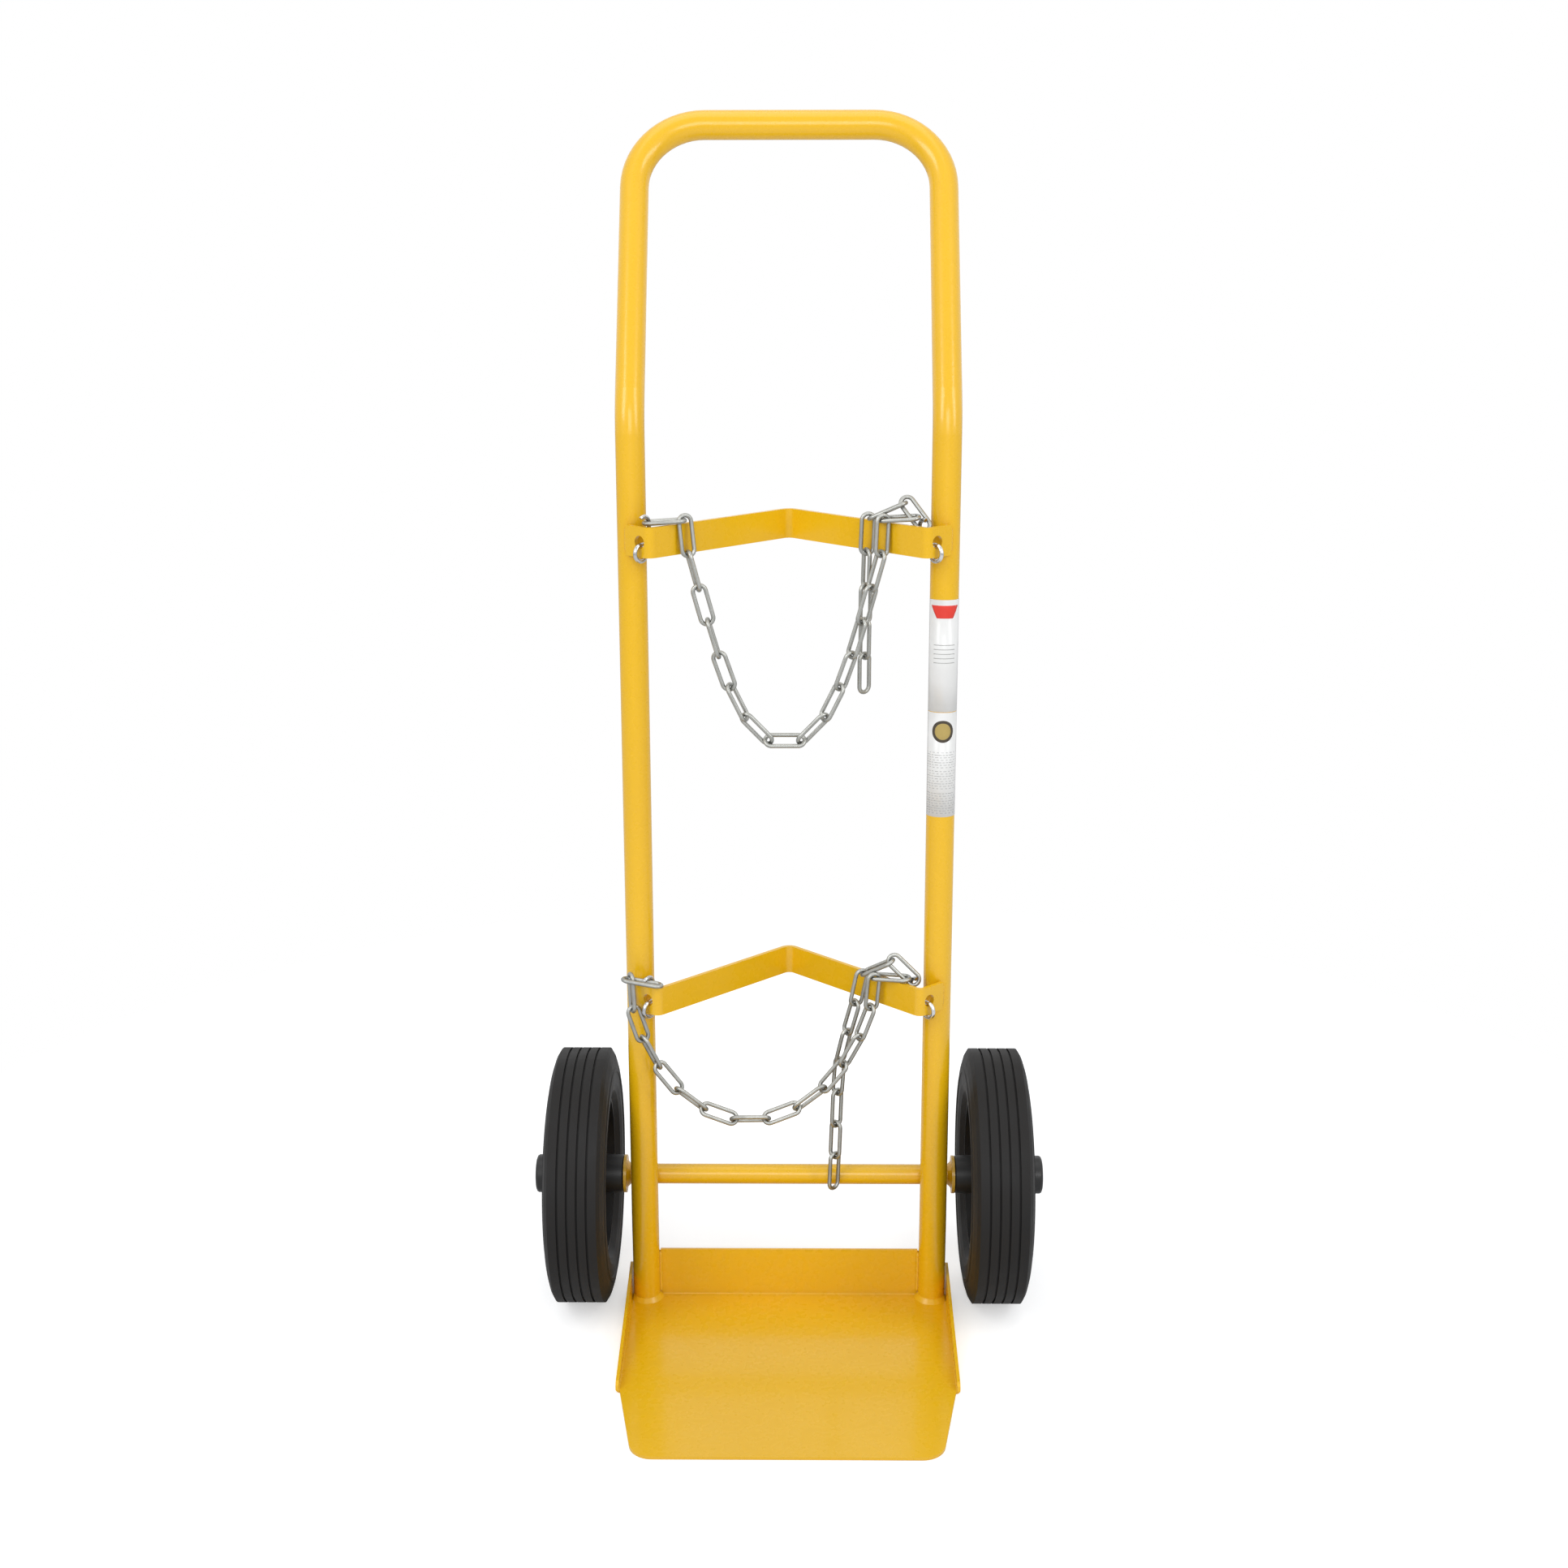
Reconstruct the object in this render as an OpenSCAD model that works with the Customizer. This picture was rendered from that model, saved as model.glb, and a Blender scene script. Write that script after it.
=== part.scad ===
// Hand truck for one upright gas bottle: bent tube frame, folded toe tray,
// two V cradle bars with hooked retaining chains, fixed axle and two wheels.
// Millimetres. X to the right, -Y to the front, Z up, floor at Z = 0.

/* [Frame tube] */
// Outer diameter of the frame tube
tube_d = 27; // [25:0.5:32]
// Wall of the frame tube
tube_wall = 2; // [1.5:0.5:3]
// Distance between the two uprights, centre to centre
frame_w = 290; // [260:5:340]
// Height at which the uprights start to lean back
foot_h = 90; // [80:5:110]
// Backward lean of the uprights
lean = 3.3; // [1:0.1:6]
// Height of the bend where the handle starts
kink_h = 890; // [850:5:940]
// Angle of the handle from the vertical
handle_lean = 30; // [20:1:40]
// Height of the grip bar's axis
grip_h = 1142; // [1100:1:1200]
// Bend radius at the foot of the uprights
foot_r = 150; // [100:10:200]
// Bend radius between upright and handle
kink_r = 80; // [60:5:100]
// Bend radius of the two top corners
corner_r = 65; // [50:1:80]

/* [Toe tray] */
// Sheet thickness of the tray
sheet = 3; // [2:0.5:4]
// Inner bend radius of the folded sheet
fold_r = 1; // [0.5:0.5:3]
// Distance from the uprights' axis to the front edge
tray_front = 265; // [220:5:300]
// Distance from the uprights' axis to the rear edge
tray_rear = 14; // [14:1:20]
// Height of the rear upstand
upstand_h = 54; // [40:1:70]
// Distance from the uprights' axis to the upstand's front face
upstand_y = 2.5; // [0:0.5:6]
// Length of the side flanges in front of the uprights' axis
flange_len = 165; // [120:5:200]
// Height of the side flanges at the rear
flange_h = 33; // [25:1:45]
// Height of the side flanges at the front
flange_tip_h = 10; // [8:1:16]
// Inward taper of the tray's front part on each side
front_taper = 19; // [0:1:40]
// Radius of the tray's front corners
front_corner_r = 22; // [10:1:30]

/* [Cradle bars] */
// Height of the cradle flat bar
bar_h = 28; // [25:1:32]
// Thickness of the cradle flat bar
bar_t = 4; // [3:0.5:5]
// Top edge of the upper cradle bar
upper_bar_top = 791; // [740:1:820]
// Top edge of the lower cradle bar
lower_bar_top = 350; // [320:1:400]
// Angle of the V arms in plan
arm_angle = 42; // [35:1:45]
// Angle of the welded end tabs in plan
tab_angle = 40; // [35:1:45]
// Length of the end tabs
tab_len = 28.3; // [26:0.1:32]
// Offset of the tab's touching edge outside the tube's axis
tab_touch = 1.9; // [0:0.1:3]
// Bend radius between tab and arm, at mid thickness
tab_r = 6; // [4:0.5:8]
// Bend radius of the V apex, at mid thickness
apex_r = 9; // [6:0.5:14]
// Diameter of the hook holes in the tabs
hole_d = 12; // [10:0.5:13]
// Distance from the tab's bend to the hook hole
hole_off = 10.5; // [10:0.5:14]

/* [Wheels and axle] */
// Diameter of the axle bar
axle_d = 20; // [16:1:22]
// Height of the axle's centre
axle_h = 127.4; // [127.2:0.1:150]
// Length of the axle beyond each retaining ring
axle_end = 6.1; // [3:0.1:12]
// Outer diameter of the tyre
tyre_d = 254; // [230:2:254]
// Widest part of the tyre
tyre_w = 61; // [55:1:66]
// Width of the ribbed tread
tread_w = 47; // [40:1:50]
// Number of grooves round the tread
groove_n = 4; // [2:1:6]
// Width of a tread groove
groove_w = 2; // [1:0.5:3]
// Depth of a tread groove
groove_deep = 2.5; // [1:0.5:4]
// Seat diameter of the tyre on its rim
seat_d = 160; // [150:2:170]
// Wall of the moulded rim
rim_wall = 4; // [3:0.5:5]
// Diameter of the hub
hub_d = 38; // [34:1:44]
// Distance from an upright's axis to the wheel's middle plane
wheel_off = 62; // [60:1:80]
// Length of the hub inside the wheel's middle plane
hub_in = 39.4; // [36:0.2:40]
// Length of the hub outside the wheel's middle plane
hub_out = 36; // [34:1:38]
// Radial running clearance of the hub on the axle
run_fit = 0.05; // [0.02:0.01:0.1]
// Side clearance of the hub against its washers
side_fit = 0.4; // [0.3:0.1:1]
// Thickness of the inner stop washers
washer_t = 3; // [2:0.5:4]
// Outer diameter of the retaining rings
ring_d = 30; // [26:1:32]
// Thickness of the retaining rings
ring_t = 2; // [1:0.5:3]
// Room between the axle's end and the hub cap
cap_gap = 2.5; // [1:0.5:5]
// Wall of a hub cap
cap_wall = 2; // [1.5:0.5:3]
// Throat of the weld fillets
weld = 4; // [3:0.5:6]

/* [Chains and hooks] */
// Wire diameter of the chain links
wire = 4; // [3.5:0.5:4.5]
// Inner length of a chain link
link_in = 33.5; // [30:0.5:38]
// Width of a link between wire centres
link_w = 12; // [11.5:0.5:14]
// Slack between two links
slack = 0.5; // [0.3:0.1:0.8]
// Wire diameter of the S hooks
hook_wire = 4; // [3.5:0.5:4.5]
// Radius of the S hooks' lower loop, at wire centre
hook_r = 7.5; // [7.5:0.5:9]
// Radius of the S hooks' upper loop, at wire centre
eye_r = 6.5; // [6.5:0.5:8]
// Links in each chain's swag
upper_links = 15; // [13:2:19]
// Links in the lower swag
lower_links = 13; // [11:2:17]
// How soon the upper swag's sides run straight, in links
upper_settle = 1.05; // [0.8:0.05:3]
// How soon the lower swag's sides run straight, in links
lower_settle = 4.1; // [2:0.1:6]

/* [Hidden] */
$fn = 48;

YELLOW = [0.93, 0.72, 0.12];
ZINC = [0.62, 0.63, 0.62];
BLACK = [0.13, 0.13, 0.14];
STEEL = [0.78, 0.79, 0.80];

tube_r = tube_d / 2;
axle_r = axle_d / 2;
tube_x = frame_w / 2;
kink_turn = handle_lean - lean;
weld_gap = 0.02;                    // welded round parts meet on a line

// Depth of the uprights' axis at height z, below the handle's bend
function axis_y(z) = z <= foot_h ? 0 : (z - foot_h) * tan(lean);
axle_y = axis_y(axle_h) + (tube_r + axle_r) / cos(lean) + weld_gap;

// ---------- bent bars: straight runs joined by circular bends ----------

lap = 0.05;                         // straight runs reach this far into a bend
slim = 0.01;                        // a bar's radius shrinks by this much in a bend

// Rod along +X; each run is [length, turn, bend radius, roll before the bend]
module bent_rod(runs, d, i = 0) {
    if (i < len(runs)) {
        run = runs[i];
        before = i > 0 ? lap : 0;
        after = run[1] > 0 ? lap : 0;
        if (run[0] > 0) translate([-before, 0, 0]) rotate([0, 90, 0])
            cylinder(d = d, h = run[0] + before + after);
        translate([run[0], 0, 0]) rotate([run[3], 0, 0]) {
            if (run[1] > 0) translate([0, run[2], 0]) rotate([0, 0, -90])
                rotate_extrude(angle = run[1]) translate([run[2], 0]) circle(r = d / 2 - slim);
            translate([run[2] * sin(run[1]), run[2] * (1 - cos(run[1])), 0])
                rotate([0, 0, run[1]]) bent_rod(runs, d, i + 1);
        }
    }
}

// Flat bar along +X, thickness across Y, height h; each run is [length, turn, radius]
module bent_flat(runs, t, h, i = 0) {
    if (i < len(runs)) {
        run = runs[i];
        turn = abs(run[1]);
        side = run[1] < 0 ? 1 : 0;
        before = i > 0 ? lap : 0;
        after = turn > 0 ? lap : 0;
        translate([-before, -t / 2, 0]) cube([run[0] + before + after, t, h]);
        translate([run[0], 0, 0]) {
            if (turn > 0) mirror([0, side, 0]) translate([0, run[2], 0]) rotate([0, 0, -90])
                rotate_extrude(angle = turn) translate([run[2] - t / 2 + slim, slim])
                    square([t - 2 * slim, h - 2 * slim]);
            translate([run[2] * sin(turn), (1 - 2 * side) * run[2] * (1 - cos(turn)), 0])
                rotate([0, 0, run[1]]) bent_flat(runs, t, h, i + 1);
        }
    }
}

// ---------- frame tube ----------

foot_tan = foot_r * tan(lean / 2);
kink_tan = kink_r * tan(kink_turn / 2);
foot_run = foot_h - sheet - foot_tan;
main_run = (kink_h - foot_h) / cos(lean) - foot_tan - kink_tan;
handle_run = (grip_h - kink_h) / cos(handle_lean) - kink_tan - corner_r;
frame_runs = [
    [foot_run, lean, foot_r, 0],
    [main_run, kink_turn, kink_r, 0],
    [handle_run, 90, corner_r, -90],
    [frame_w - 2 * corner_r, 90, corner_r, 0],
    [handle_run, kink_turn, kink_r, 90],
    [main_run, lean, foot_r, 0],
    [foot_run, 0, 0, 0]];

module frame_tube() {
    color(YELLOW) difference() {
        translate([-tube_x, 0, sheet]) rotate([0, -90, 0]) bent_rod(frame_runs, tube_d);
        translate([-tube_x, 0, sheet]) rotate([0, -90, 0])
            bent_rod(frame_runs, tube_d - 2 * tube_wall);
    }
}

// ---------- toe tray ----------

flange_fit = fold_r;                                // the upright's foot ends at the fold
flange_x = tube_x + tube_r + flange_fit;            // flange's inner face
fold_x = flange_x - fold_r;                         // where the side folds start
bend_out = fold_r + sheet;
upstand_half = tube_x - tube_r - 1;                 // upstand ends just inside the tubes
taper_x = fold_x - front_taper;

// Corner at p between edges that run towards a and b, rounded to radius r
function unit(v) = v / norm(v);
function corner_in(p, a, b, r) =
    let (u = unit(a - p), v = unit(b - p), half = acos(u * v) / 2)
    p + unit(u + v) * r / sin(half);
function corner_tan(p, a, b, r) =
    let (u = unit(a - p), v = unit(b - p), half = acos(u * v) / 2) p + u * r / tan(half);

module tray_floor_2d() {
    side_a = [-fold_x, -flange_len];
    front_a = [-taper_x, -tray_front];
    front_b = [taper_x, -tray_front];
    side_b = [fold_x, -flange_len];
    polygon([[-fold_x, tray_rear], side_a,
        corner_tan(front_a, side_a, front_b, front_corner_r),
        corner_tan(front_a, front_b, side_a, front_corner_r),
        corner_tan(front_b, front_a, side_b, front_corner_r),
        corner_tan(front_b, side_b, front_a, front_corner_r),
        side_b, [fold_x, tray_rear]]);
    translate(corner_in(front_a, side_a, front_b, front_corner_r)) circle(r = front_corner_r);
    translate(corner_in(front_b, side_b, front_a, front_corner_r)) circle(r = front_corner_r);
}

// Quarter fold and wall: floor edge at the origin, wall rising at +X
module fold_up_2d(h) {
    intersection() {
        translate([0, bend_out]) difference() { circle(r = bend_out); circle(r = fold_r); }
        square([bend_out, bend_out]);
    }
    translate([fold_r, bend_out]) square([sheet, h - bend_out]);
}

module toe_tray() {
    color(YELLOW) {
        difference() {
            linear_extrude(sheet) tray_floor_2d();
            translate([-upstand_half, upstand_y - fold_r, -1])
                cube([2 * upstand_half, 2 * tray_rear, sheet + 2]);
        }
        // rear upstand between the uprights
        translate([-upstand_half, upstand_y - fold_r, 0]) rotate([90, 0, 90])
            linear_extrude(2 * upstand_half) fold_up_2d(upstand_h);
        // side flanges, lower towards the front
        for (s = [0, 1]) mirror([s, 0, 0]) intersection() {
            translate([fold_x, tray_rear, 0]) rotate([90, 0, 0])
                linear_extrude(tray_rear + flange_len) fold_up_2d(flange_h + 1);
            translate([0, 0, 0]) rotate([90, 0, 90]) linear_extrude(flange_x + 2 * sheet)
                polygon([[tray_rear + 1, -1], [tray_rear + 1, flange_h],
                    [tray_rear - 3, flange_h], [5 - flange_len, flange_tip_h],
                    [1 - flange_len, flange_tip_h - 3], [-flange_len, flange_tip_h - 7],
                    [-flange_len, -1]]);
        }
    }
}

module foot_welds() {
    color(YELLOW) for (s = [-1, 1]) translate([s * tube_x, 0, sheet]) intersection() {
        rotate_extrude() translate([tube_r, 0]) polygon([[0, 0], [weld, 0], [0, weld]]);
        translate([s < 0 ? -tube_r : -2 * tube_r, -tube_d, 0])
            cube([3 * tube_r, tube_d + upstand_y - fold_r - 0.5, weld]);
    }
}

// ---------- cradle bars ----------

tab_turn = arm_angle + tab_angle;
tab_tan = tab_r * tan(tab_turn / 2);
apex_tan = apex_r * tan(arm_angle);
// rear edge of the tab's end touches the upright; all from the upright's axis
end_x = tube_x + tab_touch + bar_t / 2 * sin(tab_angle);
end_y = -sqrt(pow(tube_r / cos(lean), 2) - tab_touch * tab_touch) - weld_gap
    - bar_t / 2 * cos(tab_angle);
bend_x = end_x - tab_len * cos(tab_angle);          // corner of tab and arm
bend_y = end_y - tab_len * sin(tab_angle);
arm_len = bend_x / cos(arm_angle);
hole_x = bend_x + hole_off * cos(tab_angle);
hole_y = bend_y + hole_off * sin(tab_angle);

function bar_y(top) = axis_y(top - bar_h);          // depth reference of a bar

module cradle_bar(top) {
    color(YELLOW) difference() {
        translate([-end_x, bar_y(top) + end_y, top - bar_h]) rotate([0, 0, -tab_angle])
            bent_flat([[tab_len - tab_tan, tab_turn, tab_r],
                [arm_len - tab_tan - apex_tan, -2 * arm_angle, apex_r],
                [arm_len - tab_tan - apex_tan, tab_turn, tab_r],
                [tab_len - tab_tan, 0, 0]], bar_t, bar_h);
        for (s = [-1, 1]) translate([s * hole_x, bar_y(top) + hole_y, top - bar_h / 2])
            rotate([90, 0, s * tab_angle]) cylinder(d = hole_d, h = 2 * bar_t, center = true);
    }
}
module upper_cradle_bar() { cradle_bar(upper_bar_top); }
module lower_cradle_bar() { cradle_bar(lower_bar_top); }

// ---------- axle and wheels ----------

wheel_x = tube_x + wheel_off;
hub_face = wheel_x - hub_in;
washer_x = hub_face - side_fit - washer_t;
ring_x = wheel_x + hub_out + side_fit;
hub_bore_r = axle_r + run_fit;
axle_len = 2 * (ring_x + ring_t + axle_end);
cap_len = side_fit + ring_t + axle_end + cap_gap + cap_wall;

module axle() {
    color(YELLOW) translate([-axle_len / 2, axle_y, axle_h]) rotate([0, 90, 0])
        cylinder(r = axle_r, h = axle_len);
}

module on_axle(x, s) { translate([s * x, axle_y, axle_h]) rotate([0, s * 90, 0]) children(); }

module washer(r, t) {
    difference() {
        cylinder(r = r, h = t);
        translate([0, 0, -1]) cylinder(r = axle_r + weld_gap, h = t + 2);
    }
}
module axle_welds() {
    color(YELLOW) for (s = [-1, 1]) on_axle(washer_x - weld, s)
        rotate_extrude() translate([axle_r + weld_gap, 0])
            polygon([[0, 0], [weld, weld], [0, weld]]);
}
module stop_washers() { color(YELLOW) for (s = [-1, 1]) on_axle(washer_x, s) washer(hub_d / 2, washer_t); }
module retaining_rings() { color(STEEL) for (s = [-1, 1]) on_axle(ring_x, s) washer(ring_d / 2, ring_t); }

// Tyre section in the X+ half plane: radius along X, width along Y
module tyre_2d() {
    r = tyre_d / 2;
    w = tyre_w / 2;
    t = tread_w / 2;
    seat = seat_d / 2;
    difference() {
        polygon([[seat, t - 1], [seat + 4, w - 3], [seat + 10, w - 1], [seat + 22, w - 1],
            [seat + 23, w], [seat + 26, w], [seat + 27, w - 1], [r - 13, w - 1.5],
            [r - 5, t + 3], [r, t], [r, -t], [r - 5, -t - 3], [r - 13, 1.5 - w],
            [seat + 27, 1 - w], [seat + 26, -w], [seat + 23, -w], [seat + 22, 1 - w],
            [seat + 10, 1 - w], [seat + 4, 3 - w], [seat, 1 - t]]);
        for (i = [0 : groove_n - 1])
            translate([r - groove_deep, -t + (i + 1) * tread_w / (groove_n + 1) - groove_w / 2])
                square([groove_deep + 1, groove_w]);
    }
}
// Rim section: seat band, dished web near the outer side, long hub
module rim_2d() {
    seat = seat_d / 2;
    t = tread_w / 2;
    hub = hub_d / 2;
    polygon([[seat, t - 1], [seat - rim_wall, t - 1], [seat - rim_wall - 2, t - 8],
        [hub + 10, t - 14], [hub, t - 10], [hub, hub_out], [hub_bore_r, hub_out],
        [hub_bore_r, -hub_in], [hub - 1, -hub_in], [hub, 1 - hub_in], [hub + 1, t - 19],
        [hub + 10, t - 19], [seat - rim_wall - 4, t - 13], [seat - rim_wall, t - 17],
        [seat - rim_wall, 1 - t], [seat, 1 - t]]);
}
module cap_2d() {
    r = hub_d / 2;
    polygon([[r, 0], [r, cap_len - 2.5], [r - 1, cap_len - 0.8], [r - 3, cap_len],
        [0, cap_len], [0, cap_len - cap_wall], [r - cap_wall - 1, cap_len - cap_wall],
        [r - cap_wall, cap_len - cap_wall - 1], [r - cap_wall, 0]]);
}
module tyre(s) { color(BLACK) on_axle(wheel_x, s) rotate_extrude($fn = 96) tyre_2d(); }
module rim(s) { color(BLACK) on_axle(wheel_x, s) rotate_extrude($fn = 96) rim_2d(); }
module hub_cap(s) { color(BLACK) on_axle(wheel_x + hub_out, s) rotate_extrude() cap_2d(); }
module tyre_left() { tyre(-1); }
module tyre_right() { tyre(1); }
module rim_left() { rim(-1); }
module rim_right() { rim(1); }
module hub_cap_left() { hub_cap(-1); }
module hub_cap_right() { hub_cap(1); }

// ---------- S hooks ----------
// In the hook's plane: u runs to the rear square to the tab, w runs up,
// origin in the middle of the hook hole.

loop_w = -10.3;                                     // centre of the lower loop
eye_u = 4.5;
eye_w = bar_h / 2 + 2.15;                           // centre of the upper loop
hook_bend_r = 5;
hook_spine = eye_w - (loop_w + hook_r + hook_bend_r);
hook_reach = eye_u + eye_r - hook_bend_r;           // straight run behind the hole

// Hook on side s of the bar with its top edge at top, leaning back by the angle tip
module s_hook(s, top, tip) {
    color(STEEL) translate([s * hole_x, bar_y(top) + hole_y, top - bar_h / 2])
        rotate([0, 0, 90 + s * tab_angle]) rotate([90, 0, 0])
        translate([0, loop_w, 0]) rotate([0, 0, -tip])
        rotate([0, 0, -20]) translate([hook_r, 0, 0]) rotate([0, 0, -90])
        bent_rod([[0, 250, hook_r, 180], [hook_reach, 90, hook_bend_r, 180],
            [hook_spine, 130, eye_r, 0]], hook_wire);
}
module upper_left_hook() { s_hook(-1, upper_bar_top, 0); }
module upper_right_hook() { s_hook(1, upper_bar_top, 26); }
module lower_left_hook() { s_hook(-1, lower_bar_top, -12); }
module lower_right_hook() { s_hook(1, lower_bar_top, 32); }

// ---------- chain links ----------

tip_len = link_in + wire;                           // between wire centres at the ends
pitch = link_in - slack;
nest = wire + slack / 2;                            // wire centre to wire centre, hooked

// One link along Z, its flat side in the XZ plane
module link() {
    straight = tip_len - link_w;
    for (s = [-1, 1]) translate([s * link_w / 2, 0, -straight / 2])
        cylinder(d = wire, h = straight, $fn = 24);
    for (s = [0, 1]) mirror([0, 0, s]) translate([0, 0, straight / 2]) rotate([90, 0, 0])
        rotate_extrude(angle = 180, $fn = 24) translate([link_w / 2, 0]) circle(d = wire);
}
// Link centred at p, along the direction d, its width towards w
module link_at(p, d, w) {
    z = unit(d);
    y = unit(cross(z, w));
    x = cross(y, z);
    multmatrix([[x[0], y[0], z[0], p[0]], [x[1], y[1], z[1], p[1]],
        [x[2], y[2], z[2], p[2]], [0, 0, 0, 1]]) link();
}
// Link from end wire centre a towards b
module link_from(a, b, w) { d = unit(b - a); link_at(a + d * tip_len / 2, d, w); }

// Points at the bar on side s are given outwards from the upright's axis, to the rear
// of it at the bar's lower edge, and up from the bar's top edge
function at_bar(s, top, p) = [s * (tube_x + p[0]), bar_y(top) + p[1], top + p[2]];
// Link between two such points
module seat_link(s, top, a, b, w) { link_from(at_bar(s, top, a), at_bar(s, top, b), w); }

// Left: one link from the hook; right: one link stands on the hook, the next
// goes to the swag and the last to the loose tail
module upper_left_end_link() {
    color(ZINC) seat_link(-1, upper_bar_top, [-13.25, -19.72, 2.22], [-49.97, -12.25, 3.62],
            [-0.22, 0.976, 0]);
}
module upper_right_end_links() {
    color(ZINC) {
        seat_link(1, upper_bar_top, [-18.14, -15.94, -4.7], [-39.26, -0.33, 22.06],
            [0.826, 0.296, 0.479]);
        seat_link(1, upper_bar_top, [-25.59, -13.18, 6.29], [-61.82, -4.1, 2.9],
            [0.231, 0.966, 0.118]);
        seat_link(1, upper_bar_top, [-37.42, -4.35, 18.33], [-70.42, 3.84, 2.49],
            [0.255, 0.966, -0.031]);
    }
}
module lower_left_end_link() {
    color(ZINC) seat_link(-1, lower_bar_top, [-22.96, -33.65, 3.29], [14, -30.87, 8.99],
            [-0.055, -0.99, 0.127]);
}
module lower_right_end_links() {
    color(ZINC) {
        seat_link(1, lower_bar_top, [-19.98, -11.51, -2.93], [-46.76, -6.38, 22.81],
            [0.699, 0.192, 0.689]);
        seat_link(1, lower_bar_top, [-28.01, -13.93, 2.97], [-64.51, -5.42, 1.8],
            [0.225, 0.973, 0.06]);
        seat_link(1, lower_bar_top, [-44.18, -8.81, 19.48], [-73.03, 5.46, 0.23],
            [0.377, 0.919, 0.117]);
    }
}
// Links that hang from them: top wire centre, a point below, the width's direction
// and the side of the truck
upper_left_hang = [[-49.63, -11.97, 8.09], [-53.4, -14.3, -29.19], [0.908, 0.413, 0], -1];
upper_right_hang = [[-58.05, -10.1, 7.78], [-59.43, -12, -29.67], [0.908, 0.411, 0], 1];
upper_tail_hang = [[-71.18, 1.65, 7.37], [-72.41, 1.7, -30.11], [0.974, 0.18, 0], 1];
lower_left_hang = [[7.08, -24.94, 11.81], [5.45, -28.34, -25.5], [0.387, -0.922, 0], -1];
lower_right_hang = [[-61.98, -10.69, 6.28], [-64.86, -10.08, -31.11], [0.946, 0.331, 0], 1];
lower_tail_hang = [[-72.72, 2.2, 4.85], [-79.91, 2.92, -31.95], [0.902, 0.388, 0], 1];
function hang_top(top, h) = at_bar(h[3], top, h[0]);
function hang_dir(h) = unit([h[3] * (h[1][0] - h[0][0]), h[1][1] - h[0][1], h[1][2] - h[0][2]]);
function hang_low(top, h) = hang_top(top, h) + hang_dir(h) * tip_len;
module hang_link(top, h) { seat_link(h[3], top, h[0], h[1], h[2]); }

// ---------- swags: links hang with slopes that ease towards the middle ----------

function slope(i, n, side, settle) =
    let (k = i - (n - 1) / 2, m = side * (1 - exp(-abs(k) / settle))) k < 0 ? -m : m;
function run_x(n, side, settle, i = 0) =
    i >= n ? 0 : link_step(i, n, side, settle) * cos(slope(i, n, side, settle))
        + run_x(n, side, settle, i + 1);
// links sit closer where the chain turns
function link_step(i, n, side, settle) = pitch
    - 1.8 / 45 * (abs(slope(i + 1, n, side, settle) - slope(i, n, side, settle))
    + abs(slope(i, n, side, settle) - slope(i - 1, n, side, settle))) / 2;
// side angle at which n links span the given width
function side_for(span, n, settle, lo, hi, k = 0) =
    k > 30 ? (lo + hi) / 2 : let (m = (lo + hi) / 2)
        run_x(n, m, settle) > span ? side_for(span, n, settle, m, hi, k + 1)
        : side_for(span, n, settle, lo, m, k + 1);

// Swag of n links, hung from the left link a and the right link b; ease is about how
// far its first link leans, rolls turn its first, middle and last link
module swag(top, a, b, n, settle, ease, rolls, lo, hi) {
    hang_link(top, a);
    hang_link(top, b);
    p = hang_low(top, a) - unit(hang_dir(a) + [sin(ease), 0, -cos(ease)]) * nest;
    q = hang_low(top, b) - unit(hang_dir(b) + [-sin(ease), 0, -cos(ease)]) * nest;
    along = unit(q - p);
    front = unit(cross(along, [0, 0, 1]));
    up = cross(front, along);
    over = (tip_len - pitch) / 2;
    side = side_for(norm(q - p), n, settle, lo, hi);
    side_in = side_for(norm(q - p) - 2 * over * cos(slope(n - 1, n, side, settle)), n, settle,
        lo, hi);
    first = slope(0, n, side_in, settle);
    swag_links(p + over * (cos(first) * along + sin(first) * up), n, side_in, settle,
        along, front, up, rolls, 0);
}
module swag_links(p, n, side, settle, along, front, up, rolls, i) {
    if (i < n) {
        a = slope(i, n, side, settle);
        step = link_step(i, n, side, settle);
        d = cos(a) * along + sin(a) * up;
        k = 2 * i / (n - 1);
        r = 90 * i + (k < 1 ? (1 - k) * rolls[0] + k * rolls[1]
            : (2 - k) * rolls[1] + (k - 1) * rolls[2]);
        link_at(p + d * step / 2, d, -cos(r) * cross(d, front) + sin(r) * front);
        swag_links(p + d * step, n, side, settle, along, front, up, rolls, i + 1);
    }
}
module upper_chain_swag() {
    color(ZINC) swag(upper_bar_top, upper_left_hang, upper_right_hang, upper_links - 2,
        upper_settle, 14, [72, 135, 123], 60, 89);
}
module lower_chain_swag() {
    color(ZINC) swag(lower_bar_top, lower_left_hang, lower_right_hang, lower_links - 2,
        lower_settle, 20, [-22, -41, -60], 60, 150);
}

// Pivots: the top wire centres that the hanging chains swing about
upper_swag_left = hang_top(upper_bar_top, upper_left_hang);
upper_swag_right = hang_top(upper_bar_top, upper_right_hang);
lower_swag_left = hang_top(lower_bar_top, lower_left_hang);
lower_swag_right = hang_top(lower_bar_top, lower_right_hang);
upper_tail_top = hang_top(upper_bar_top, upper_tail_hang);
lower_tail_top = hang_top(lower_bar_top, lower_tail_hang);

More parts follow.
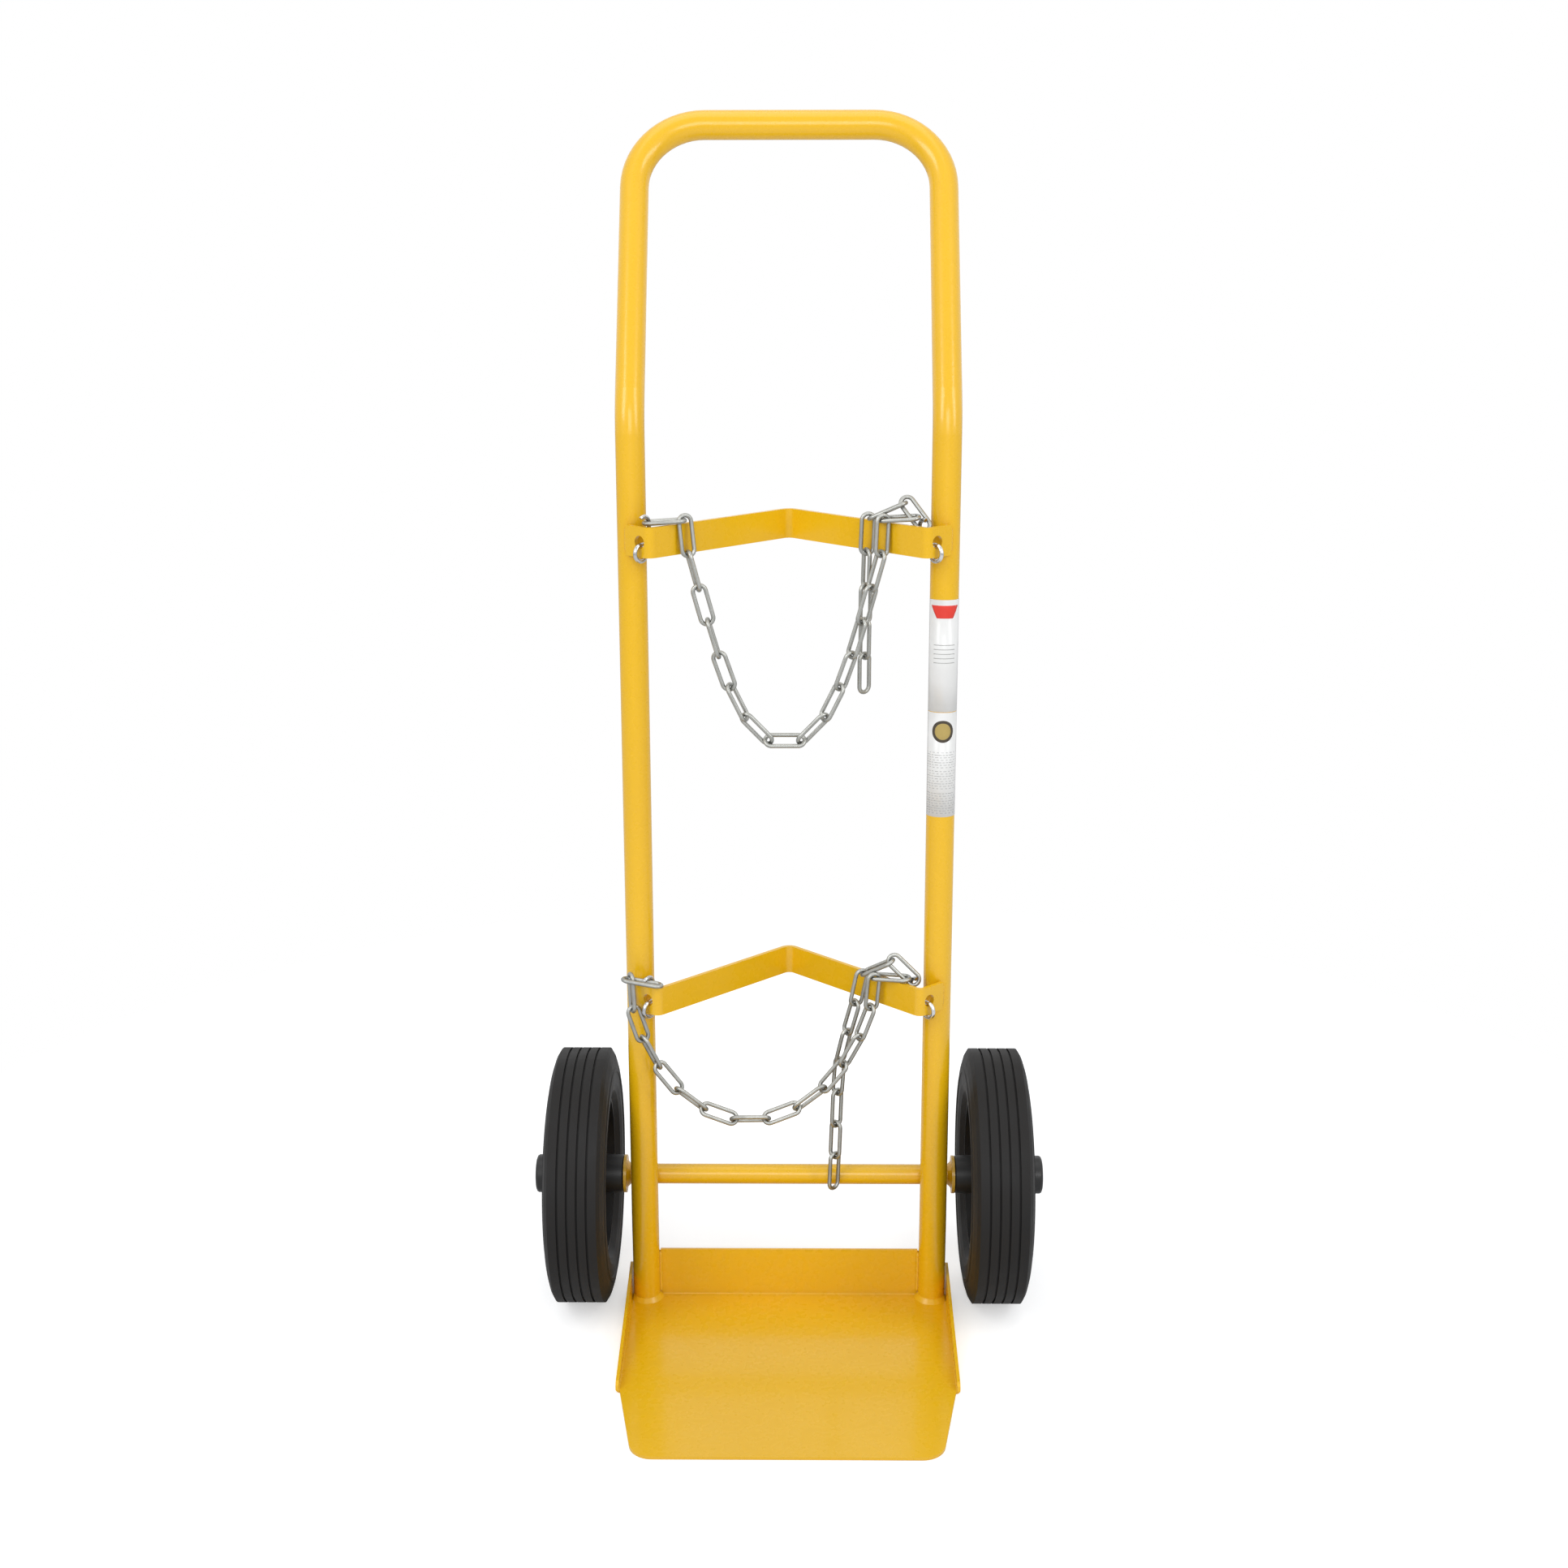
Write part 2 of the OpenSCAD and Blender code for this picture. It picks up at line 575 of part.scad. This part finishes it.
// Loose tail: below the hanging link, each link leans [to the left, to the rear] in
// degrees and has its width turned by a roll from the truck's X
module tail(top, h, leans) {
    color(ZINC) {
        hang_link(top, h);
        tail_links(hang_low(top, h), hang_dir(h), leans);
    }
}
module tail_links(low, before, leans, i = 0) {
    if (i < len(leans)) {
        d = unit([-tan(leans[i][0]), tan(leans[i][1]), -1]);
        p = low - unit(d + before) * nest;
        link_from(p, p + d, [cos(leans[i][2]), sin(leans[i][2]), 0]);
        tail_links(p + d * tip_len, d, leans, i + 1);
    }
}
module upper_chain_tail() {
    tail(upper_bar_top, upper_tail_hang,
        [[1, 4, 115], [0.5, 1, 40], [0.5, 0, 130], [0, 0, 40]]);
}
module lower_chain_tail() {
    tail(lower_bar_top, lower_tail_hang, [[14, 6, 125], [12, 4, 45], [4, -5, 135],
        [2, -8, 45], [2, -7, 135], [2, -4, 45]]);
}

frame_tube();
toe_tray();
foot_welds();
upper_cradle_bar();
lower_cradle_bar();
axle();
axle_welds();
stop_washers();
retaining_rings();
tyre_left();
tyre_right();
rim_left();
rim_right();
hub_cap_left();
hub_cap_right();
upper_left_hook();
upper_right_hook();
lower_left_hook();
lower_right_hook();
upper_left_end_link();
upper_right_end_links();
lower_left_end_link();
lower_right_end_links();
upper_chain_swag();
lower_chain_swag();
upper_chain_tail();
lower_chain_tail();
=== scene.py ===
"""Look of the gas bottle hand truck: camera, light, floor, materials and fine detail."""
import math

import bmesh
import bpy
from mathutils import Matrix, Vector


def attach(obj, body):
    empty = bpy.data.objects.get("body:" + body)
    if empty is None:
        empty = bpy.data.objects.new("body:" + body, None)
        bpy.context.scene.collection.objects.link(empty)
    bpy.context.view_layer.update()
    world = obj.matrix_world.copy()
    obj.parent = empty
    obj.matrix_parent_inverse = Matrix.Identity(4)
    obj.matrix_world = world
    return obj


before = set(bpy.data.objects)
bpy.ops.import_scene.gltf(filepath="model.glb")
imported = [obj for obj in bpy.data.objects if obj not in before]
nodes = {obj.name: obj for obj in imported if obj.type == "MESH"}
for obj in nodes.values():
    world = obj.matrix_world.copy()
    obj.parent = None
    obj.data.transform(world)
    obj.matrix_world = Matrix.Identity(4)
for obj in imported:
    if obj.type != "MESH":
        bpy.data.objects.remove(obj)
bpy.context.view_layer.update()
scene = bpy.context.scene

# ---------------------------------------------------------------- camera
SENSOR_MM = 36.0
FOCAL_PX, IMAGE_PX = 2400.0, 1932.0
YAW, PITCH, ROLL = -0.0099534, 0.2996410, -0.0018322
EYE = Vector((0.0132068, -1.7487848, 1.0902927))


def make_camera():
    cy, sy = math.cos(YAW), math.sin(YAW)
    cp, sp = math.cos(PITCH), math.sin(PITCH)
    ahead = Vector((sy * cp, cy * cp, -sp))
    right = Vector((cy, -sy, 0.0))
    up = right.cross(ahead)
    cr, sr = math.cos(ROLL), math.sin(ROLL)
    right, up = cr * right + sr * up, -sr * right + cr * up
    data = bpy.data.cameras.new("camera")
    data.sensor_width = SENSOR_MM
    data.lens = FOCAL_PX / IMAGE_PX * SENSOR_MM
    data.clip_start, data.clip_end = 0.05, 60.0
    cam = bpy.data.objects.new("camera", data)
    scene.collection.objects.link(cam)
    cam.matrix_world = Matrix((
        (right.x, up.x, -ahead.x, EYE.x),
        (right.y, up.y, -ahead.y, EYE.y),
        (right.z, up.z, -ahead.z, EYE.z),
        (0, 0, 0, 1)))
    scene.camera = cam


make_camera()


# ---------------------------------------------------------------- node helpers
class Nodes:
    """Short calls for the shader nodes of a material or a world."""

    def __init__(self, owner):
        owner.use_nodes = True
        self.tree = owner.node_tree

    def plug(self, socket, value):
        if isinstance(value, bpy.types.NodeSocket):
            self.tree.links.new(value, socket)
        else:
            socket.default_value = value

    def add(self, kind, inputs=None, **props):
        node = self.tree.nodes.new(kind)
        for key, value in props.items():
            setattr(node, key, value)
        for key, value in (inputs or {}).items():
            self.plug(node.inputs[key], value)
        return node

    def math(self, op, a, b=0.0):
        return self.add("ShaderNodeMath", {0: a, 1: b}, operation=op).outputs[0]

    def mix_shader(self, fac, a, b):
        return self.add("ShaderNodeMixShader", {0: fac, 1: a, 2: b}).outputs[0]

    def ray(self):
        """Outputs that tell the camera's rays from the others."""
        return self.add("ShaderNodeLightPath").outputs


class Mat(Nodes):
    """A material with a principled shader."""

    def __init__(self, name, **sockets):
        self.mat = bpy.data.materials.new(name)
        super().__init__(self.mat)
        self.shader = self.tree.nodes["Principled BSDF"]
        self.set(**sockets)
        self.coord = self.add("ShaderNodeTexCoord").outputs["Object"]

    def set(self, **sockets):
        for key, value in sockets.items():
            self.plug(self.shader.inputs[key.replace("_", " ")], value)

    def noise(self, scale, detail=3.0, rough=0.5, vector=None):
        return self.add("ShaderNodeTexNoise", {"Vector": vector or self.coord, "Scale": scale,
                                               "Detail": detail, "Roughness": rough}).outputs["Fac"]

    def stretched(self, x, y, z):
        return self.add("ShaderNodeMapping", {"Vector": self.coord, "Scale": (x, y, z)}).outputs[0]

    def span(self, value, a, b, c=0.0, d=1.0):
        return self.add("ShaderNodeMapRange", {"Value": value, "From Min": a, "From Max": b,
                                               "To Min": c, "To Max": d}).outputs[0]

    def hollow_shade(self, distance):
        """Falls from 1 to 0 where surfaces within this distance close in; it masks painted shade in
        hollows.
        """
        return self.add("ShaderNodeAmbientOcclusion", {"Distance": distance},
                        samples=12).outputs["AO"]

    def mix(self, fac, a, b):
        return self.add("ShaderNodeMix", {0: fac, 6: a, 7: b}, data_type="RGBA").outputs[2]

    def bump(self, height, strength, distance):
        return self.add("ShaderNodeBump", {"Height": height, "Strength": strength,
                                           "Distance": distance}).outputs[0]


def rgb(r, g, b):
    """Display colour 0-255 to a linear RGBA."""
    def lin(c):
        c /= 255.0
        return c / 12.92 if c <= 0.04045 else ((c + 0.055) / 1.055) ** 2.4
    return (lin(r), lin(g), lin(b), 1.0)


# ---------------------------------------------------------------- materials
def yellow_paint():
    m = Mat("yellow_powder_coat", Roughness=0.3, Coat_Weight=0.25, Coat_Roughness=0.1)
    wide = m.noise(5.0, 2.0)
    fine = m.noise(110.0, 3.0)
    peel = m.noise(420.0, 2.0, 0.4)
    base = m.mix(m.span(wide, 0.3, 0.7), rgb(231, 180, 10), rgb(235, 184, 13))
    base = m.mix(m.math("MULTIPLY", m.span(fine, 0.55, 0.8), 0.06), base, rgb(206, 156, 18))
    # painted shade: the paint is darkened in inner corners and at weld toes, where the surfaces
    # close in
    base = m.mix(m.span(m.hollow_shade(0.010), 0.35, 0.85, 0.30, 0.0), base, rgb(176, 120, 10))
    m.set(Base_Color=base, Roughness=m.span(fine, 0.3, 0.7, 0.24, 0.32),
          Normal=m.bump(peel, 0.02, 0.0004))
    return m.mat


def chain_zinc():
    m = Mat("dull_zinc_plate", Metallic=1.0)
    blotch = m.noise(60.0)
    grain = m.noise(900.0, 3.0, 0.6)
    draw = m.noise(60.0, vector=m.stretched(6.0, 6.0, 1.0))
    base = m.mix(m.span(blotch, 0.3, 0.75), rgb(178, 179, 175), rgb(158, 159, 155))
    base = m.mix(m.math("MULTIPLY", m.span(draw, 0.5, 0.8), 0.25), base, rgb(132, 131, 125))
    # painted shade: the zinc is darkened where surfaces close in, between the links
    base = m.mix(m.span(m.hollow_shade(0.003), 0.2, 0.85, 0.45, 0.0), base, rgb(84, 83, 77))
    m.set(Base_Color=base, Roughness=m.span(blotch, 0.3, 0.7, 0.36, 0.48),
          Normal=m.bump(grain, 0.12, 0.0002))
    return m.mat


def bright_steel():
    m = Mat("bright_zinc_plate", Metallic=1.0)
    grain = m.noise(700.0)
    blotch = m.noise(90.0)
    base = m.mix(m.span(blotch, 0.35, 0.7), rgb(222, 223, 224), rgb(176, 178, 180))
    m.set(Base_Color=base, Roughness=m.span(grain, 0.3, 0.7, 0.14, 0.3),
          Normal=m.bump(grain, 0.12, 0.0002))
    return m.mat


def tyre_rubber():
    m = Mat("tyre_rubber", Specular_IOR_Level=0.3)
    dust = m.noise(26.0, 4.0, 0.6)
    grain = m.noise(900.0, 3.0, 0.6)
    base = m.mix(m.span(dust, 0.4, 0.8), rgb(18, 17, 17), rgb(28, 26, 25))
    m.set(Base_Color=base, Roughness=m.span(dust, 0.3, 0.7, 0.55, 0.72),
          Normal=m.bump(grain, 0.2, 0.0002))
    return m.mat


def black_plastic():
    m = Mat("black_plastic", Specular_IOR_Level=0.5)
    grain = m.noise(1100.0, 2.0)
    wide = m.noise(30.0)
    base = m.mix(m.span(wide, 0.35, 0.7), rgb(16, 16, 17), rgb(25, 25, 26))
    m.set(Base_Color=base, Roughness=m.span(wide, 0.3, 0.7, 0.34, 0.46),
          Normal=m.bump(grain, 0.18, 0.0002))
    return m.mat


def sticker_white():
    m = Mat("sticker_white", Roughness=0.32, Coat_Weight=0.3, Coat_Roughness=0.15)
    faint = m.noise(40.0)
    m.set(Base_Color=m.mix(m.span(faint, 0.3, 0.7), rgb(228, 228, 226), rgb(236, 236, 235)))
    return m.mat


def print_ink(name, colour, rough=0.35, **more):
    m = Mat(name, Roughness=rough, **more)
    faint = m.noise(120.0)
    darker = tuple(c * 0.9 for c in colour[:3]) + (1.0,)
    m.set(Base_Color=m.mix(m.span(faint, 0.35, 0.7), colour, darker))
    return m.mat


PAINT = yellow_paint()
ZINC = chain_zinc()
BRIGHT = bright_steel()
RUBBER = tyre_rubber()
PLASTIC = black_plastic()
# the beads carry the same paint under a name of their own
WELD = PAINT.copy()
WELD.name = "yellow_paint_on_weld"
STICKER = sticker_white()
RED = print_ink("sticker_red", rgb(226, 58, 44))
GREY = print_ink("sticker_grey", rgb(168, 168, 166))
DARK = print_ink("sticker_dark", rgb(70, 62, 50))
GOLD = print_ink("sticker_gold", rgb(196, 172, 104), 0.3, Metallic=0.6)


def material_for(name):
    if name.startswith("tyre"):
        return RUBBER
    if name.startswith(("rim", "hub_cap")):
        return PLASTIC
    if "hook" in name or "ring" in name:
        return BRIGHT
    if "chain" in name or "link" in name:
        return ZINC
    return PAINT


for name in nodes:
    ob = nodes[name]
    for slot in ob.material_slots:
        slot.material = material_for(name)
    if not ob.material_slots:
        ob.data.materials.append(material_for(name))

# ---------------------------------------------------------------- places on the frame, metres
SIDES = ((-1, "left"), (1, "right"))
# axis and outer radius of the uprights, which lean back above the foot's height
TUBE_X, TUBE_R = 0.145, 0.0135
LEAN, FOOT_H = math.radians(3.3), 0.090
BAR_TOPS, BAR_H = (("upper", 0.791), ("lower", 0.350)), 0.028
AXLE_Z = 0.1274


def axis_y(z):
    """Depth of the uprights' axis at height z."""
    return max(0.0, z - FOOT_H) * math.tan(LEAN)


def add_piece(name, verts, faces, material):
    mesh = bpy.data.meshes.new(name)
    mesh.from_pydata(verts, [], faces)
    mesh.validate()
    for face in mesh.polygons:
        face.use_smooth = True
    mesh.materials.append(material)
    ob = bpy.data.objects.new(name, mesh)
    scene.collection.objects.link(ob)
    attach(ob, "frame")


# ---------------------------------------------------------------- weld beads
# ripples: spacing, wave length in spacings, rise as a share of the radius
RIPPLE, RIPPLE_WAVE, RIPPLE_RISE = 0.0013, 1.4, 0.10
RINGS_PER_RIPPLE, FEWEST_RINGS = 4, 8
# a bead's end tapers over this many radii, down to a small tip
TAPER, TIP = 1.2, 0.02
NOTHING = 1e-9

BAR_WELD_R, BAR_WELD_END = 0.0023, 0.0025
# outward and back from the upright's axis
BAR_WELD_AT = ((0.0034, -0.0140), (-0.0009, -0.0150))
FOOT_WELD_R = 0.0021
UPSTAND_WELD_X, UPSTAND_WELD_Y, UPSTAND_WELD_Z = 0.1310, (0.0024, 0.0060), (0.0065, 0.0515)
AXLE_WELD_DZ, AXLE_WELD_LIFT = 0.0058, 0.0010
AXLE_WELD_HALF, AXLE_WELD_STEP, AXLE_WELD_POINTS = 0.008, 0.002, 9


def bead(path, radius, sides=10):
    """Verts and faces of a rippled weld bead along a path of points."""
    path = [Vector(p) for p in path]
    run = [0.0]
    for a, b in zip(path, path[1:]):
        run.append(run[-1] + (b - a).length)
    length = run[-1]
    rings = max(FEWEST_RINGS, int(length / RIPPLE * RINGS_PER_RIPPLE))
    verts, faces = [], []
    for i in range(rings + 1):
        d = length * i / rings
        k = max(j for j in range(len(path) - 1) if run[j] <= d + NOTHING)
        t = (d - run[k]) / max(run[k + 1] - run[k], NOTHING)
        p = path[k].lerp(path[k + 1], t)
        along = (path[k + 1] - path[k]).normalized()
        side = along.orthogonal().normalized()
        other = along.cross(side)
        end = min(1.0, math.sqrt(min(d, length - d) / (TAPER * radius) + TIP))
        wave = math.sin(2 * math.pi * d / RIPPLE / RIPPLE_WAVE)
        r = radius * end * (1.0 + RIPPLE_RISE * wave)
        for j in range(sides):
            a = 2 * math.pi * j / sides
            verts.append(p + r * (math.cos(a) * side + math.sin(a) * other))
    for i in range(rings):
        for j in range(sides):
            k = (j + 1) % sides
            faces.append((i * sides + j, i * sides + k, (i + 1) * sides + k, (i + 1) * sides + j))
    faces.append(tuple(reversed(range(sides))))
    faces.append(tuple(len(verts) - sides + j for j in range(sides)))
    return verts, faces


def weld_beads(name, paths, radius):
    verts, faces = [], []
    for path in paths:
        v, f = bead(path, radius)
        faces += [tuple(len(verts) + i for i in face) for face in f]
        verts += v
    add_piece(name, verts, faces, WELD)


def axle_arc(s, dz):
    """Points along the axle where it crosses behind an upright, dz from its middle."""
    z = AXLE_Z + dz
    arc = []
    for i in range(AXLE_WELD_POINTS):
        dx = -AXLE_WELD_HALF + AXLE_WELD_STEP * i
        tube_back = axis_y(z) + math.sqrt(TUBE_R ** 2 - dx ** 2)
        arc.append((s * TUBE_X + dx, tube_back + AXLE_WELD_LIFT, z))
    return arc


for label, top in BAR_TOPS:
    for s, side in SIDES:
        ends = (top - BAR_H + BAR_WELD_END, top - BAR_WELD_END)
        weld_beads("%s_bar_weld_%s" % (label, side), [
            [(s * (TUBE_X + dx), axis_y(z) + dy, z) for z in ends]
            for dx, dy in BAR_WELD_AT], BAR_WELD_R)

for s, side in SIDES:
    weld_beads("upstand_weld_" + side, [
        [(s * UPSTAND_WELD_X, y, z) for z in UPSTAND_WELD_Z]
        for y in UPSTAND_WELD_Y], FOOT_WELD_R)
    weld_beads("axle_tube_weld_" + side, [
        axle_arc(s, dz) for dz in (-AXLE_WELD_DZ, AXLE_WELD_DZ)], FOOT_WELD_R)

# ---------------------------------------------------------------- plain sticker
# height of its lower edge; the other heights start there
LABEL_FOOT = 0.513
LABEL_H, LABEL_HALF = 0.2075, 0.0195
LOWER_TOP, UPPER_FOOT = 0.1015 - 0.0004, 0.1015 + 0.0002
# each layer's thickness, and the place of its outer face over the tube
FILM = 0.00006
LOWER_LIFT, UPPER_LIFT, PRINT_LIFT, DISC_LIFT = 0.00022, 0.00025, 0.00029, 0.00033
DISC_AT, DISC_RIM_R, DISC_R, DISC_TIP = 0.0830, 0.0106, 0.0078, 1e-5
# red mark: its foot below the label's top, its height, half width and spread, its steps
MARK_FOOT, MARK_H, MARK_HALF, MARK_SPREAD, MARK_STEPS = 0.0172, 0.0120, 0.0078, 0.0067, 12
# lines of the lower part, in blocks of (first line, how many), with ragged ends
BLOCKS = ((0.0035, 9), (0.0275, 8), (0.0480, 7))
BLOCK_STEP, BLOCK_LINE = 0.0024, 0.00045
BLOCK_LEFT, BLOCK_RIGHT, BLOCK_RAG = -0.0170, 0.0168, 0.0025
# lines of the upper part
RULES, RULE_AT, RULE_STEP, RULE_LINE, RULE_HALF = 5, 0.1480, 0.0042, 0.0006, 0.0105


def wrapped(name, shapes, lift, material, cols=14):
    """Thin closed patches on the right upright; a shape is rows of (v, u0, u1) in metres."""
    along = Vector((0, math.sin(LEAN), math.cos(LEAN)))
    front = Vector((0, -math.cos(LEAN), math.sin(LEAN)))
    out = Vector((1, 0, 0))
    base = Vector((TUBE_X, axis_y(LABEL_FOOT), LABEL_FOOT))
    w = cols + 1
    verts, faces = [], []
    for rows in shapes:
        first, n = len(verts), len(rows)
        for layer in (lift, lift - FILM):
            radius = TUBE_R + layer
            for v, u0, u1 in rows:
                for j in range(w):
                    a = (u0 + (u1 - u0) * j / cols) / TUBE_R
                    verts.append(base + along * v
                                 + radius * (math.sin(a) * out + math.cos(a) * front))

        def at(layer, i, j):
            return first + layer * n * w + i * w + j

        for i in range(n - 1):
            for j in range(cols):
                faces.append((at(0, i, j), at(0, i, j + 1), at(0, i + 1, j + 1), at(0, i + 1, j)))
                faces.append((at(1, i, j), at(1, i + 1, j), at(1, i + 1, j + 1), at(1, i, j + 1)))
            faces.append((at(0, i, 0), at(0, i + 1, 0), at(1, i + 1, 0), at(1, i, 0)))
            faces.append((at(0, i, cols), at(1, i, cols), at(1, i + 1, cols), at(0, i + 1, cols)))
        top = n - 1
        for j in range(cols):
            faces.append((at(0, 0, j), at(1, 0, j), at(1, 0, j + 1), at(0, 0, j + 1)))
            faces.append((at(0, top, j), at(0, top, j + 1), at(1, top, j + 1), at(1, top, j)))
    add_piece(name, verts, faces, material)


def strip(v0, v1, u0, u1):
    """Rows of a rectangle."""
    return [(v0, u0, u1), (v1, u0, u1)]


def disc_rows(radius, steps=24):
    """Rows of a round patch."""
    turns = [math.pi * (k / steps - 0.5) for k in range(steps + 1)]
    return [(DISC_AT + radius * math.sin(t), -radius * math.cos(t) - DISC_TIP,
             radius * math.cos(t) + DISC_TIP) for t in turns]


def mark_rows():
    """Rows of a mark that widens upward."""
    rows = []
    for k in range(MARK_STEPS + 1):
        half = MARK_HALF + MARK_SPREAD * k / MARK_STEPS
        rows.append((LABEL_H - MARK_FOOT + MARK_H * k / MARK_STEPS, -half, half))
    return rows


def rule_lines():
    """Plain rules in place of small print."""
    lines = []
    for start, count in BLOCKS:
        for i in range(count):
            v, end = start + BLOCK_STEP * i, BLOCK_RIGHT - BLOCK_RAG * ((i * 7) % 3)
            lines.append(strip(v, v + BLOCK_LINE, BLOCK_LEFT, end))
    for i in range(RULES):
        v = RULE_AT + RULE_STEP * i
        lines.append(strip(v, v + RULE_LINE, -RULE_HALF, RULE_HALF))
    return lines


wrapped("sticker_lower", [strip(0.0, LOWER_TOP, -LABEL_HALF, LABEL_HALF)], LOWER_LIFT, STICKER)
wrapped("sticker_upper", [strip(UPPER_FOOT, LABEL_H, -LABEL_HALF, LABEL_HALF)], UPPER_LIFT, STICKER)
wrapped("sticker_red_mark", [mark_rows()], PRINT_LIFT, RED)
wrapped("sticker_rules", rule_lines(), PRINT_LIFT, GREY, cols=8)
wrapped("sticker_disc_rim", [disc_rows(DISC_RIM_R)], PRINT_LIFT, DARK)
wrapped("sticker_disc", [disc_rows(DISC_R)], DISC_LIFT, GOLD)

# ---------------------------------------------------------------- studio
WHITE = (1, 1, 1, 1)
FLOOR_HALF, FLOOR_DROP = 14.0, 0.0005
FLOOR_GLOW, SKY_GLOW = 0.46, 0.54
# between these distances from the middle the floor turns plain white
FADE_FROM, FADE_TO = 0.55, 1.15


def floor_material():
    m = Mat("floor_white", Roughness=0.6, Specular_IOR_Level=0.1)
    soft = m.noise(1.5, 2.0)
    m.set(Base_Color=m.mix(m.span(soft, 0.3, 0.7), (0.86, 0.86, 0.86, 1), (0.89, 0.89, 0.89, 1)))
    lit = m.shader.outputs[0]
    # seen by the camera the floor is white, dimmed only where the object shades it
    add = m.add("ShaderNodeAddShader")
    m.plug(add.inputs[0], lit)
    m.plug(add.inputs[1], m.add("ShaderNodeEmission",
                                {"Color": WHITE, "Strength": FLOOR_GLOW}).outputs[0])
    # away from the object it fades to plain white
    place = m.add("ShaderNodeSeparateXYZ", {"Vector": m.coord}).outputs
    away = m.math("SQRT", m.math("ADD", m.math("POWER", place[0], 2.0),
                                 m.math("POWER", place[1], 2.0)))
    plain = m.add("ShaderNodeEmission", {"Color": WHITE, "Strength": 1.0}).outputs[0]
    seen = m.mix_shader(m.span(away, FADE_FROM, FADE_TO), add.outputs[0], plain)
    m.plug(m.tree.nodes["Material Output"].inputs["Surface"],
           m.mix_shader(m.ray()["Is Camera Ray"], lit, seen))
    return m.mat


def make_floor():
    mesh = bpy.data.meshes.new("floor")
    bm = bmesh.new()
    bmesh.ops.create_grid(bm, x_segments=1, y_segments=1, size=FLOOR_HALF)
    bm.to_mesh(mesh)
    bm.free()
    mesh.materials.append(floor_material())
    floor = bpy.data.objects.new("floor", mesh)
    floor.location = (0, 0, -FLOOR_DROP)
    scene.collection.objects.link(floor)


def make_world():
    """Soft light from all round, plain white to the camera and in reflections."""
    scene.world = bpy.data.worlds.new("studio")
    w = Nodes(scene.world)
    w.tree.nodes.clear()
    light = w.add("ShaderNodeBackground", {"Color": (0.95, 0.97, 1.0, 1), "Strength": SKY_GLOW})
    white = w.add("ShaderNodeBackground", {"Color": WHITE, "Strength": 1.0})
    ray = w.ray()
    seen = w.math("MAXIMUM", ray["Is Camera Ray"], ray["Is Glossy Ray"])
    w.add("ShaderNodeOutputWorld",
          {"Surface": w.mix_shader(seen, light.outputs[0], white.outputs[0])})


def lamp(name, place, aim, size, power):
    data = bpy.data.lights.new(name, "AREA")
    data.shape = "RECTANGLE"
    data.size, data.size_y = size
    data.energy = power
    ob = bpy.data.objects.new(name, data)
    ob.location = place
    ob.rotation_euler = (Vector(aim) - Vector(place)).to_track_quat("-Z", "Y").to_euler()
    scene.collection.objects.link(ob)


make_floor()
make_world()
lamp("key_left", (-1.9, -1.6, 2.3), (0, 0, 0.6), (1.0, 1.8), 27)
lamp("key_right", (2.0, -1.3, 2.0), (0, 0, 0.6), (0.8, 1.8), 19)
lamp("front", (0.2, -3.2, 1.9), (0, 0, 0.5), (1.6, 1.2), 23)
lamp("top", (0, 0.2, 3.2), (0, 0, 0.5), (2.0, 2.0), 14)

scene.view_settings.view_transform = "Standard"
